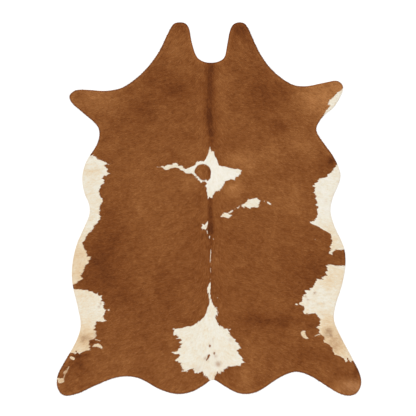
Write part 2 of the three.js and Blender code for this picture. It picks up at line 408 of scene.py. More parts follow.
# Tones go from 0, dark, to 1, light.
BROWN_TONE = 0.50
HIND_DARKER = {"depth": 0.03, "over": 0.2}  # behind the middle of the back
BROWN_NOISE = [  # strength, size and seed
    (0.06, 0.110, 1),
    (0.05, 0.045, 2),
    (0.06, 0.022, 3),
    (0.10, 0.009, 8),
]
BROWN_STREAKS = [  # strength, length, width and seed
    (0.05, 0.045, 0.010, 4),
]
BROWN_SHADES = [
    (-0.171, 1.092, 0.050, 0.034, -0.24),
    (-0.140, 1.050, 0.025, 0.035, -0.10),
    (-0.190, 0.950, 0.060, 0.090, 0.10),
    (0.188, 1.065, 0.060, 0.060, -0.36),
    (0.255, 0.985, 0.040, 0.090, -0.22),
    (0.165, 0.830, 0.060, 0.060, -0.09),
    (-0.232, 0.720, 0.110, 0.100, -0.25),
    (-0.347, 0.606, 0.080, 0.080, -0.12),
    (-0.453, 0.477, 0.110, 0.080, -0.08),
    (-0.080, 0.640, 0.034, 0.160, -0.05),
    (0.072, 0.660, 0.026, 0.140, 0.04),
    (0.312, 0.675, 0.130, 0.120, -0.26),
    (0.420, 0.495, 0.045, 0.038, -0.22),
    (-0.650, 0.650, 0.130, 0.060, 0.24),
    (-0.560, 0.600, 0.080, 0.080, 0.06),
    (0.665, 0.655, 0.130, 0.100, 0.47),
    (0.760, 0.720, 0.045, 0.035, 0.16),
    (0.560, 0.630, 0.090, 0.090, 0.08),
    (0.160, 0.300, 0.070, 0.050, 0.30),
    (0.145, 0.118, 0.060, 0.050, 0.36),
    (0.242, 0.255, 0.060, 0.060, 0.22),
    (-0.112, 0.165, 0.060, 0.045, 0.22),
    (-0.080, 0.320, 0.070, 0.050, 0.10),
    (0.530, 0.400, 0.070, 0.070, 0.10),
    (0.590, 0.372, 0.090, 0.065, 0.20),
    (0.360, 0.318, 0.085, 0.065, 0.15),
    (-0.612, 0.465, 0.060, 0.060, -0.11),
    (-0.371, 0.583, 0.060, 0.050, -0.10),
    (0.312, 0.818, 0.060, 0.060, -0.09),
    (-0.347, 0.789, 0.060, 0.050, -0.08),
    (0.360, 0.112, 0.090, 0.070, 0.10),
    (0.510, 0.030, 0.095, 0.120, 0.16),
    (-0.400, 0.180, 0.120, 0.160, 0.06),
    (-0.320, -0.100, 0.140, 0.120, 0.08),
    (0.724, 0.285, 0.026, 0.030, -0.45),
    (0.700, 0.262, 0.042, 0.026, -0.08),
    (0.672, 0.236, 0.065, 0.038, -0.18),
    (-0.700, 0.335, 0.016, 0.030, -0.45),
    (-0.610, -0.320, 0.140, 0.250, -0.25),
    (-0.571, -0.312, 0.050, 0.050, 0.05),
    (-0.500, -0.540, 0.080, 0.070, -0.10),
    (-0.288, -0.536, 0.080, 0.080, -0.05),
    (-0.260, -0.448, 0.110, 0.100, -0.10),
    (0.595, -0.404, 0.130, 0.140, -0.20),
    (0.345, -0.660, 0.150, 0.032, -0.26),
    (0.607, -0.684, 0.035, 0.055, -0.10),
    (0.607, -0.860, 0.060, 0.035, -0.18),
    (0.212, -0.955, 0.055, 0.045, 0.18),
    (0.218, -1.012, 0.060, 0.045, 0.20),
    (0.250, -0.850, 0.060, 0.060, 0.14),
    (-0.780, -0.905, 0.050, 0.060, -0.20),
    (-0.690, -0.787, 0.022, 0.012, -0.34),
    (-0.750, -0.864, 0.045, 0.013, -0.22),
    (-0.800, -1.000, 0.060, 0.050, 0.04),
    (0.850, -1.045, 0.075, 0.042, 0.40),
    (0.740, -1.060, 0.070, 0.035, 0.20),
    (0.800, -0.965, 0.080, 0.030, -0.12),
    (0.872, -0.950, 0.022, 0.050, -0.30),
    (0.017, -0.105, 0.030, 0.045, -0.20),
    (-0.107, 0.804, 0.006, 0.030, 0.12),
    (-0.072, 0.720, 0.014, 0.045, 0.12),
    (0.055, 0.752, 0.020, 0.012, 0.12),
    (0.678, -0.748, 0.018, 0.012, 0.25),
    (-0.777, -1.007, 0.006, 0.008, 0.35),
    (0.004, 0.214, 0.013, 0.035, -0.20),
    (-0.050, 0.220, 0.022, 0.030, 0.20),
    (0.280, -0.600, 0.150, 0.140, -0.02),
    (-0.560, -0.930, 0.140, 0.080, 0.12),
    (0.745, -0.285, 0.060, 0.035, -0.04),
]
WHITE_TONE = 0.80
WHITE_NOISE = [
    (0.05, 0.060, 5),
    (0.09, 0.014, 6),
]
WHITE_STREAKS = [
    (0.06, 0.060, 0.006, 7),
]
WHITE_SHADES = [
    (0.040, 0.210, 0.200, 0.120, 0.16),
    (-0.200, 0.245, 0.080, 0.030, -0.12),
    (0.250, 0.030, 0.060, 0.040, -0.10),
    (0.100, -0.038, 0.040, 0.020, -0.10),
    (0.000, -0.810, 0.260, 0.200, 0.02),
    # Painted shade of a shallow fold across the white of the left brisket, in two bands.
    (-0.700, 0.222, 0.070, 0.010, -0.20),
    (-0.690, 0.203, 0.055, 0.007, -0.12),
    (-0.690, 0.100, 0.080, 0.100, -0.02),
    (-0.670, -0.040, 0.060, 0.080, -0.04),
    (-0.760, -0.330, 0.090, 0.190, -0.40),
    (-0.700, -0.560, 0.100, 0.080, -0.04),
    (-0.720, -0.760, 0.110, 0.085, -0.46),
    (-0.760, -0.810, 0.060, 0.045, -0.14),
    (0.700, 0.130, 0.080, 0.120, 0.06),
    (0.680, -0.010, 0.060, 0.070, 0.12),
    (0.720, -0.170, 0.070, 0.080, -0.22),
    (0.740, -0.400, 0.070, 0.070, -0.24),
    (0.620, -0.520, 0.080, 0.070, -0.04),
    (0.700, -0.640, 0.070, 0.050, -0.14),
    (0.740, -0.790, 0.110, 0.110, -0.66),
    (0.563, -0.742, 0.030, 0.030, -0.36),
    (0.712, -0.440, 0.018, 0.060, -0.16),
    (0.706, -0.722, 0.030, 0.024, -0.25),
    (-0.735, -0.760, 0.034, 0.022, -0.22),
    (0.045, -0.978, 0.030, 0.018, -0.30),
    (-0.845, -0.960, 0.070, 0.100, -0.76),
    (0.660, -0.556, 0.016, 0.006, -0.20),
]

# Painted shade along the back, where the hair parts: where the spine lies, how wide the shade is and how
# dark.
SPINE_COLUMNS = ("y", "x", "reach", "depth")
SPINE = [
    (-1.020, 0.022, 0.006, 0.00),
    (-0.550, 0.017, 0.006, 0.02),
    (-0.420, 0.012, 0.008, 0.10),
    (-0.300, 0.010, 0.012, 0.10),
    (-0.240, 0.010, 0.011, 0.16),
    (-0.180, 0.007, 0.012, 0.20),
    (-0.100, 0.010, 0.018, 0.34),
    (-0.030, 0.008, 0.013, 0.36),
    (0.055, 0.007, 0.013, 0.34),
    (0.120, 0.007, 0.010, 0.00),
    (0.340, 0.011, 0.020, 0.00),
    (0.365, 0.011, 0.028, 0.20),
    (0.400, 0.012, 0.018, 0.30),
    (0.445, 0.013, 0.026, 0.38),
    (0.530, 0.004, 0.026, 0.42),
    (0.600, 0.001, 0.030, 0.36),
    (0.700, 0.004, 0.029, 0.36),
    (0.800, 0.009, 0.027, 0.34),
    (0.880, 0.012, 0.026, 0.40),
]
# Two darker lines of painted shade, one each side of the parting.
PARTING_SHADE_LINES = {"apart": 0.019, "reach": 0.0035, "depth": 0.12, "where_shade_full": 0.4}

# Along the edge: a dark line of painted shade with a lighter belt inside it on the brown, a greyish one on
# the white.
EDGE_SHADE_LINE = {"reach": 0.0042, "depth": 0.28}
EDGE_BELT = {"middle": 0.013, "reach": 0.006, "rise": 0.13}
EDGE_GREY_SHADE = {"reach": 0.0060, "share": 0.12}

# The coat's own surface between the locks.
# How much darker it is than the locks: painted shade under the hair.
UNDERCOAT_DARKER = 0.06
UNDERCOAT_GRAIN = 0.35

# ---- colours, as sRGB from 0 to 255

BROWN_COLOURS = [
    (0.00, (87, 40, 6)),
    (0.25, (116, 60, 16)),
    (0.50, (135, 79, 33)),
    (0.75, (151, 95, 46)),
    (1.00, (181, 123, 70)),
]
WHITE_COLOURS = [
    (0.0, (186, 149, 113)),
    (0.2, (215, 187, 149)),
    (0.4, (222, 199, 164)),
    (0.6, (226, 211, 185)),
    (0.8, (228, 224, 209)),
    (1.0, (236, 231, 222)),
]
SUEDE_COLOURS = [
    (0.45, (186, 172, 150)),
    (0.62, (206, 196, 178)),
    (0.85, (222, 214, 199)),
]


def records(names, rows):
    """The rows with their columns by name."""
    return [dict(zip(names, row)) for row in rows]


# ---- noise

NOISE_CELLS = 512  # before the noise repeats
NOISE_TURN = 0.6
SEED_SHIFT = 0.37  # how much further each seed turns or shifts the noise


def value_noise(u, v, seed):
    """Smooth noise from -1 to 1, with features about one unit across."""
    cells = NOISE_CELLS
    grid = np.random.default_rng(seed).uniform(-1, 1, (cells, cells))
    column, row = np.floor(u).astype(int), np.floor(v).astype(int)
    fu, fv = u - column, v - row
    fu, fv = fu * fu * (3 - 2 * fu), fv * fv * (3 - 2 * fv)
    c0, c1, r0, r1 = column % cells, (column + 1) % cells, row % cells, (row + 1) % cells
    low = grid[r0, c0] * (1 - fu) + grid[r0, c1] * fu
    high = grid[r1, c0] * (1 - fu) + grid[r1, c1] * fu
    return low * (1 - fv) + high * fv


def turned_noise(x, y, size, seed):
    """Noise on axes turned away from X and Y, by an angle that differs with the seed, to hide its grid."""
    turn = NOISE_TURN + SEED_SHIFT * seed
    u = (x * math.cos(turn) - y * math.sin(turn)) / size
    v = (x * math.sin(turn) + y * math.cos(turn)) / size
    return value_noise(u, v, seed)


def layered_noise(x, y, layers):
    """Turned noise added up, each layer with its strength, size and seed."""
    return sum(strength * turned_noise(x, y, size, seed) for strength, size, seed in layers)


# ---- the edge of the hide


def solid_edge():
    """The CAD solid's edge on the floor, as a loop of (x, y) points in order."""
    bm = bmesh.new()
    bm.from_mesh(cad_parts["hide"].data)
    bmesh.ops.remove_doubles(bm, verts=bm.verts, dist=SAME_PLACE)
    base = {f for f in bm.faces if max(v.co.z for v in f.verts) < SAME_PLACE}
    rim = [e for e in bm.edges if sum(f in base for f in e.link_faces) == 1]
    beside = {}
    for edge in rim:
        for vert, other in (edge.verts, reversed(edge.verts)):
            beside.setdefault(vert, []).append(other)
    start = rim[0].verts[0]
    loop, last, here = [start], start, beside[start][0]
    while here != start:
        loop.append(here)
        last, here = here, next(v for v in beside[here] if v != last)
    points = np.array([v.co.xy for v in loop], float)
    bm.free()
    points = points[np.linalg.norm(points - np.roll(points, 1, 0), axis=1) > EDGE_POINTS_APART]
    return points if area(points) > 0 else points[::-1]


def area(loop):
    """Signed area of a loop, positive when it runs counter-clockwise."""
    after = np.roll(loop, -1, 0)
    return 0.5 * (loop[:, 0] * after[:, 1] - loop[:, 1] * after[:, 0]).sum()


def smooth_loop(points, steps):
    """A closed Catmull-Rom curve through the points, with so many steps from each to the next."""
    before, after, beyond = np.roll(points, 1, 0), np.roll(points, -1, 0), np.roll(points, -2, 0)
    spans = []
    for t in np.arange(steps) / steps:
        straight = 2 * points + (after - before) * t
        bent = (2 * before - 5 * points + 4 * after - beyond) * t**2
        spans.append(0.5 * (straight + bent + (3 * points - before - 3 * after + beyond) * t**3))
    return np.stack(spans, 1).reshape(-1, 2)


def inset(loop, by):
    """The loop moved inward, for a loop that runs counter-clockwise."""
    along = np.roll(loop, -1, 0) - np.roll(loop, 1, 0)
    along /= np.linalg.norm(along, axis=1)[:, None]
    return loop + by * np.column_stack((-along[:, 1], along[:, 0]))


def depth_inside(x, y, loop):
    """Distance to a closed loop, positive inside it."""
    start = loop.astype(np.float32)
    run = np.roll(start, -1, 0) - start
    squared = (run**2).sum(1)
    found = np.empty(len(x))
    for part in np.array_split(np.arange(len(x)), 1 + len(x) * len(loop) // PAIRS_AT_ONCE):
        dx = x[part, None].astype(np.float32) - start[:, 0]
        dy = y[part, None].astype(np.float32) - start[:, 1]
        along = np.clip((dx * run[:, 0] + dy * run[:, 1]) / squared, 0, 1)
        gap = (dx - along * run[:, 0]) ** 2 + (dy - along * run[:, 1]) ** 2
        spans = (dy >= 0) != (dy - run[:, 1] >= 0)
        left = dx * run[:, 1] < dy * run[:, 0]
        crossings = (spans & (left == (run[:, 1] > 0))).sum(1)
        found[part] = np.sqrt(gap.min(1)) * np.where(crossings % 2, 1, -1)
    return found


EDGE = smooth_loop(solid_edge(), EDGE_STEPS)


def coat_top(depth, x, y):
    """Height of the coat's surface, so far inside the hide's edge."""
    inward = np.clip(depth / THINNING, 0, 1)
    coat = COAT_AT_EDGE + (COAT_ON_BACK - COAT_AT_EDGE) * (1 - (1 - inward) ** 2)
    return SKIN + coat - LOCK_ROOM + layered_noise(x, y, SWELLS) * np.clip(depth / SWELL_BELT, 0, 1)


# ---- how the hair runs


def spine(y):
    """Where the spine is at y, and how far the painted shade along it reaches and how dark it is."""
    rows = records(SPINE_COLUMNS, SPINE)
    places = [row["y"] for row in rows]
    return {name: np.interp(y, places, [row[name] for row in rows]) for name in SPINE_COLUMNS[1:]}


def flow_angle(reach):
    """Angle between the hair and the tail's direction, so far out from the spine."""
    share = np.clip(reach / FLOW_TURN, 0, 1)
    share = share * share * (3 - 2 * share)
    return FLOW_ON_SPINE + (FLOW_ON_SIDE - FLOW_ON_SPINE) * share


def flow(x, y):
    """Direction of the hair, as unit vectors."""
    out = x - spine(y)["x"]
    angle = flow_angle(np.abs(out)) + FLOW_SWIRL * turned_noise(x, y, FLOW_SWIRL_SIZE, 31)
    for away, end in ((-y, FLOW_AT_HIND), (y, FLOW_AT_FRONT)):
        angle -= end["turn"] * np.clip((away - end["from"]) / end["over"], 0, 1)
    side = np.clip(out / PARTING, -1, 1)
    return np.stack((side * np.sin(angle), -np.cos(angle)), -1)


def flow_places(x, y):
    """Places along and across the hair's run, in metres, for streaks that follow it."""
    out = x - spine(y)["x"]
    steps = np.linspace(0, FLOW_REACH, FLOW_STEPS)
    angle = flow_angle(steps)
    width = steps[1] - steps[0]
    along = np.cumsum(width / np.sin(angle))
    back = np.cumsum(width / np.tan(angle))
    reach = np.abs(out)
    across = y + np.interp(reach, steps, back) + SIDES_APART * (out < 0)
    return np.interp(reach, steps, along), across


def streaks(x, y, length, width, seed):
    """Noise drawn out along the hair."""
    along, across = flow_places(x, y)
    return value_noise(along / length + SEED_SHIFT * seed, across / width, seed)


def layered_streaks(x, y, layers):
    """Streaks added up, each layer with its strength, length, width and seed."""
    return sum(strength * streaks(x, y, length, width, seed) for strength, length, width, seed in layers)


# ---- white and brown


def patch_loop(stretches):
    """A patch's border as one loop of points."""
    return np.array([point for name, points in stretches.items() if name != "ragged" for point in points])


def stroke_depth(x, y, rows):
    """How far inside the nearest of the strokes, negative outside them all."""
    deepest = np.full(len(x), -1.0)
    for stroke in records(STROKE, rows):
        run = np.array((stroke["to_x"] - stroke["x"], stroke["to_y"] - stroke["y"]))
        dx, dy = x - stroke["x"], y - stroke["y"]
        along = np.clip((dx * run[0] + dy * run[1]) / (run @ run), 0, 1)
        gap = np.hypot(dx - along * run[0], dy - along * run[1])
        deepest = np.maximum(deepest, stroke["half_width"] - gap)
    return deepest


def whiteness(x, y):
    """Distance to the nearest border between white and brown, positive in the white.

    The hair carries its colour along, so a border is ragged where the hair runs across it.
    """
    jags = layered_streaks(x, y, JAGS)
    bumps = layered_noise(x, y, BUMPS)
    run = flow(x, y)
    white = np.full(len(x), -1.0)
    for stretches in PATCHES.values():
        loop = patch_loop(stretches)
        low, high = loop.min(0) - PATCH_MARGIN, loop.max(0) + PATCH_MARGIN
        near = (x > low[0]) & (x < high[0]) & (y > low[1]) & (y < high[1])
        carried = run[near] * (stretches["ragged"] * jags[near])[:, None]
        depth = depth_inside(x[near] + carried[:, 0], y[near] + carried[:, 1], loop)
        white[near] = np.maximum(white[near], depth + stretches["ragged"] * bumps[near])
    disc = DISC["radius"] - np.hypot(x - DISC["x"], y - DISC["y"]) + DISC["ragged"] * jags
    white = np.minimum(white, -disc)
    white = np.maximum(white, stroke_depth(x, y, WHITE_STROKES))
    return np.minimum(white, -stroke_depth(x, y, BROWN_STROKES))


def shade(x, y, rows):
    """The shades' amounts added up."""
    total = np.zeros(len(x))
    for one in records(SHADE, rows):
        away = ((x - one["x"]) / one["reach_x"]) ** 2 + ((y - one["y"]) / one["reach_y"]) ** 2
        total += one["amount"] * np.exp(-away)
    return total


def brown_tone(x, y, depth):
    """How light the brown hair is, so far inside the hide's edge; painted shade darkens the parting and the
    edge.
    """
    tone = BROWN_TONE + shade(x, y, BROWN_SHADES)
    tone -= HIND_DARKER["depth"] * np.clip(-y / HIND_DARKER["over"], 0, 1)
    back = spine(y)
    out = x - back["x"]
    # Painted shade along the parting of the hair on the back, and a darker line of it each side.
    tone -= back["depth"] * np.exp(-((out / back["reach"]) ** 2))
    for side in (-0.5, 0.5):
        line = (out - side * PARTING_SHADE_LINES["apart"]) / PARTING_SHADE_LINES["reach"]
        share = back["depth"] / PARTING_SHADE_LINES["where_shade_full"]
        tone -= PARTING_SHADE_LINES["depth"] * share * np.exp(-(line**2))
    tone += layered_noise(x, y, BROWN_NOISE) + layered_streaks(x, y, BROWN_STREAKS)
    # A dark line of painted shade along the edge, and a lighter belt inside it.
    tone -= EDGE_SHADE_LINE["depth"] * np.exp(-((depth / EDGE_SHADE_LINE["reach"]) ** 2))
    belt = (depth - EDGE_BELT["middle"]) / EDGE_BELT["reach"]
    return tone + EDGE_BELT["rise"] * np.exp(-(belt**2))


def grey_share(x, y, depth):
    """Share of brown in the white coat, from 0 to 1, with a greyish line of painted shade at the edge."""
    edge = EDGE_GREY_SHADE["share"] * np.exp(-((depth / EDGE_GREY_SHADE["reach"]) ** 2))
    return np.clip(shade(x, y, GREY_SHADES) + edge, 0, 1)


def pale_share(x, y):
    """Share of white in the brown coat."""
    return shade(x, y, PALE_SHADES)


def white_tone(x, y):
    """How light the white hair is."""
    tone = WHITE_TONE + shade(x, y, WHITE_SHADES)
    return tone + layered_noise(x, y, WHITE_NOISE) + layered_streaks(x, y, WHITE_STREAKS)


# ---- materials


def linear(colour):
    """sRGB numbers from 0 to 255 as linear light."""
    share = np.array(colour) / 255
    return np.where(share <= 0.04045, share / 12.92, ((share + 0.055) / 1.055) ** 2.4)


class Nodes:
    """A short way to write a node tree."""

    def __init__(self, tree):
        self.tree = tree
        tree.nodes.clear()

    def add(self, kind, inputs=None, **settings):
        node = self.tree.nodes.new(kind)
        for name, value in settings.items():
            setattr(node, name, value)
        for name, value in (inputs or {}).items():
            socket = node.inputs[name]
            if isinstance(value, bpy.types.NodeSocket):
                self.tree.links.new(value, socket)
            else:
                socket.default_value = value
        return node

    def math(self, operation, a, b):
        return self.add("ShaderNodeMath", {0: a, 1: b}, operation=operation).outputs[0]

    def ramp(self, factor, stops):
        node = self.add("ShaderNodeValToRGB", {"Fac": factor})
        elements = node.color_ramp.elements
        while len(elements) < len(stops):
            elements.new(0.5)
        for element, (place, colour) in zip(elements, stops):
            element.position = place
            element.color = (*linear(colour), 1)
        return node.outputs["Color"]


def coat_colour():
    """The hair's colour from how brown it is and its tone, as a group of nodes."""
    group = bpy.data.node_groups.new("coat colour", "ShaderNodeTree")
    for name in ("Brown", "Tone"):
        group.interface.new_socket(name, in_out="INPUT", socket_type="NodeSocketFloat")
    group.interface.new_socket("Color", in_out="OUTPUT", socket_type="NodeSocketColor")
    nodes = Nodes(group)
    given = nodes.add("NodeGroupInput").outputs
    brown = nodes.ramp(given["Tone"], BROWN_COLOURS)
    white = nodes.ramp(given["Tone"], WHITE_COLOURS)
    mixed = nodes.add("ShaderNodeMix", {"Factor": given["Brown"]}, data_type="RGBA")
    group.links.new(white, mixed.inputs[6])
    group.links.new(brown, mixed.inputs[7])
    nodes.add("NodeGroupOutput", {"Color": mixed.outputs[2]})
    return group


def new_material(name):
    material = bpy.data.materials.new(name)
    material.use_nodes = True
    return material, Nodes(material.node_tree)


def finish_material(nodes, shader):
    nodes.add("ShaderNodeOutputMaterial", {"Surface": shader.outputs[0]})


def hair_material(colours):
    """Locks of hair. Their map is a chart of the coat's colours: U is how brown, V the tone."""
    material, nodes = new_material("cow hair")
    chart = nodes.add("ShaderNodeUVMap", uv_map="OFBake").outputs[0]
    place = nodes.add("ShaderNodeSeparateXYZ", {0: chart}).outputs
    colour = nodes.add("ShaderNodeGroup", node_tree=colours)
    nodes.tree.links.new(place["X"], colour.inputs["Brown"])
    nodes.tree.links.new(place["Y"], colour.inputs["Tone"])
    inputs = {
        "Base Color": colour.outputs[0],
        "Roughness": 0.55,
        "Specular IOR Level": 0.12,
    }
    finish_material(nodes, nodes.add("ShaderNodeBsdfPrincipled", inputs))
    return material


def undercoat_material(colours):
    """The coat's own surface, which shows between the locks."""
    material, nodes = new_material("cow undercoat")
    place = nodes.add("ShaderNodeTexCoord").outputs["Object"]
    names = ("whiteness", "grey_share", "brown_tone", "white_tone")
    white, grey, brown_light, white_light = [
        nodes.add("ShaderNodeAttribute", attribute_name=name).outputs["Fac"] for name in names
    ]
    border = {"Value": white, "From Min": -STRAY, "From Max": STRAY, "To Min": 1.0, "To Max": 0.0}
    brown = nodes.add("ShaderNodeMapRange", border).outputs[0]
    light = nodes.add("ShaderNodeMix", {"Factor": brown, "A": white_light, "B": brown_light}).outputs[0]
    grain = nodes.add("ShaderNodeTexNoise", {"Vector": place, "Scale": 420.0, "Detail": 3.0}).outputs[0]
    spread = nodes.math("MULTIPLY", nodes.math("SUBTRACT", grain, 0.5), UNDERCOAT_GRAIN)
    light = nodes.math("ADD", light, spread)
    colour = nodes.add("ShaderNodeGroup", node_tree=colours)
    nodes.tree.links.new(nodes.math("MAXIMUM", brown, grey), colour.inputs["Brown"])
    nodes.tree.links.new(light, colour.inputs["Tone"])
    bump = nodes.add("ShaderNodeBump", {"Height": grain, "Strength": 0.5, "Distance": 0.0006})
    inputs = {
        "Base Color": colour.outputs[0],
        "Roughness": 0.7,
        "Specular IOR Level": 0.12,
        "Normal": bump.outputs[0],
    }
    finish_material(nodes, nodes.add("ShaderNodeBsdfPrincipled", inputs))
    return material


def suede_material():
    """The flesh side: pale tanned leather with a short nap and faint cloudy marks."""
    material, nodes = new_material("sueded flesh side")
    place = nodes.add("ShaderNodeTexCoord").outputs["Object"]
    cloudy = {"Vector": place, "Scale": 9.0, "Detail": 5.0, "Roughness": 0.65}
    clouds = nodes.add("ShaderNodeTexNoise", cloudy)
    nap = nodes.add("ShaderNodeTexNoise", {"Vector": place, "Scale": 700.0, "Detail": 2.0})
    veins = nodes.add("ShaderNodeTexVoronoi", {"Vector": place, "Scale": 260.0}, feature="DISTANCE_TO_EDGE")
    mixed = nodes.math("ADD", clouds.outputs[0], nodes.math("MULTIPLY", nap.outputs[0], 0.35))
    colour = nodes.ramp(mixed, SUEDE_COLOURS)
    height = nodes.math("ADD", nap.outputs[0], veins.outputs[0])
    bump = nodes.add("ShaderNodeBump", {"Height": height, "Strength": 0.35, "Distance": 0.0004})
    inputs = {
        "Base Color": colour,
        "Roughness": 0.92,
        "Specular IOR Level": 0.15,
        "Sheen Weight": 0.2,
        "Sheen Roughness": 0.6,
        "Normal": bump.outputs[0],
    }
    finish_material(nodes, nodes.add("ShaderNodeBsdfPrincipled", inputs))
    return material


# ---- meshes


def new_piece(name, vertices, faces, material):
    """A mesh from triangles or longer faces, riding on the part's one body."""
    mesh = bpy.data.meshes.new(name)
    mesh.from_pydata(vertices, [], faces)
    mesh.materials.append(material)
    piece = bpy.data.objects.new(name, mesh)
    bpy.context.scene.collection.objects.link(piece)
    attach(piece, "root")
    return piece


def lattice(pitch, loop):
    """Points of a triangular lattice in the loop's box."""
    low, high = loop.min(0), loop.max(0)
    row_step = pitch * math.sqrt(3) / 2
    rows = np.arange(low[1], high[1], row_step)
    columns = np.arange(low[0], high[0], pitch)
    x = columns[None, :] + pitch / 2 * (np.arange(len(rows)) % 2)[:, None]
    y = np.repeat(rows[:, None], len(columns), 1)
    return x.ravel(), y.ravel()


def surface_points():
    """Where the coat's surface has its vertices: on a coarse lattice, and on a fine one at the borders."""
    found = []
    for pitch, fine in ((COARSE_PITCH, False), (FINE_PITCH, True)):
        x, y = lattice(pitch, EDGE)
        border = np.abs(whiteness(x, y))
        keep = border < FINE_BELT if fine else border >= FINE_BELT
        x, y = x[keep], y[keep]
        inside = depth_inside(x, y, EDGE) > RIM[0][0] + RIM_CLEARANCE * pitch
        found.append(np.column_stack((x[inside], y[inside])))
    return np.concatenate(found)


def ring_faces(upper, lower, count):
    """Quads between two loops of vertices, given by their first numbers, facing out."""
    turn = np.arange(count)
    after = (turn + 1) % count
    return np.column_stack((upper + turn, lower + turn, lower + after, upper + after)).tolist()


def make_coat(colours):
    """The coat as a closed slab: its surface, its rounded rim, and a flat bottom on the skin."""
    rim = inset(EDGE, RIM[0][0])
    count = len(rim)
    points = np.concatenate((rim, surface_points()))
    corners = [Vector(p) for p in points]
    flat, _, faces, *_ = delaunay_2d_cdt(corners, [], [range(count)], 1, MESH_TOLERANCE, False)
    flat, faces = np.array([tuple(p) for p in flat]), np.array(faces)
    middles = flat[faces].mean(1)  # outside the rim, a triangle lies across a bay of the outline
    faces = faces[depth_inside(middles[:, 0], middles[:, 1], rim) > 0].tolist()
    depth = depth_inside(flat[:, 0], flat[:, 1], EDGE)
    rows = [np.column_stack((flat, coat_top(depth, flat[:, 0], flat[:, 1])))]
    rim_top = rows[0][:count, 2]
    sides = []
    for step, (by, share) in enumerate(RIM[1:]):
        first = len(flat) + step * count
        rows.append(np.column_stack((inset(EDGE, by), SKIN_TOP + (rim_top - SKIN_TOP) * share)))
        sides += ring_faces(0 if step == 0 else first - count, first, count)
    bottom = [(len(flat) + (len(RIM) - 1) * count - 1 - i) for i in range(count)]
    vertices = np.concatenate(rows)
    piece = new_piece("coat", vertices, faces + sides + [bottom], undercoat_material(colours))
    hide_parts("hide")
    add_attributes(piece, vertices)
    walls = [inset(EDGE, -MAP_SPREAD * step) for step in range(1, len(RIM))]
    add_flat_map(piece, np.concatenate([flat, *walls]))
    piece.data.shade_smooth()
    return piece


def add_attributes(piece, vertices):
    """What the undercoat's material reads at each vertex."""
    x, y = vertices[:, 0], vertices[:, 1]
    depth = depth_inside(x, y, EDGE)
    values = {
        "whiteness": whiteness(x, y),
        "grey_share": grey_share(x, y, depth),
        # The undercoat is darker than the locks, as painted shade under the hair.
        "brown_tone": brown_tone(x, y, depth) - UNDERCOAT_DARKER,
        "white_tone": white_tone(x, y) - UNDERCOAT_DARKER,
    }
    for name, value in values.items():
        layer = piece.data.attributes.new(name, "FLOAT", "POINT")
        layer.data.foreach_set("value", value.astype(np.float32))


def add_flat_map(piece, places):
    """A map from each vertex's place, with the side that has the most corners, which is hidden, small."""
    mesh = piece.data
    layer = mesh.uv_layers.new(name="OFBake")
    corner = np.empty(len(mesh.loops), int)
    mesh.loops.foreach_get("vertex_index", corner)
    span = np.ptp(EDGE[:, 1]) + 2 * MAP_MARGIN
    uv = (places - EDGE.min(0) + MAP_MARGIN)[corner] / span
    starts, totals = np.empty(len(mesh.polygons), int), np.empty(len(mesh.polygons), int)
    mesh.polygons.foreach_get("loop_start", starts)
    mesh.polygons.foreach_get("loop_total", totals)
    largest = totals.argmax()
    hidden = slice(starts[largest], starts[largest] + totals[largest])
    uv[hidden] = MAP_CORNER + uv[hidden] * MAP_CORNER_SCALE
    layer.data.foreach_set("uv", uv.astype(np.float32).ravel())


def make_skin():
    """The tanned skin under the hair, with the sueded side on the floor."""
    count = len(EDGE)
    lowest = inset(EDGE, SKIN_ROUND)
    rows = [(EDGE, SKIN_TOP), (EDGE, SKIN_ROUND), (lowest, 0.0)]
    vertices = np.concatenate([np.column_stack((loop, np.full(count, z))) for loop, z in rows])
    top = list(range(count))
    base = [3 * count - 1 - i for i in range(count)]
    faces = [top] + ring_faces(0, count, count) + ring_faces(count, 2 * count, count) + [base]
    piece = new_piece("skin", vertices, faces, suede_material())
    add_flat_map(piece, np.concatenate((inset(EDGE, -2 * MAP_SPREAD), inset(EDGE, -MAP_SPREAD), lowest)))
    return piece


# ---- locks of hair


def lock_roots(random):
    """Where the locks have their roots, and how far each lies inside the hide's edge."""
    x, y = lattice(LOCK_PITCH, EDGE)
    x = x + random.uniform(-LOCK_JITTER, LOCK_JITTER, len(x)) * LOCK_PITCH
    y = y + random.uniform(-LOCK_JITTER, LOCK_JITTER, len(y)) * LOCK_PITCH
    depth = depth_inside(x, y, EDGE)
    keep = depth > LOCK_INSET
    return x[keep], y[keep], depth[keep]


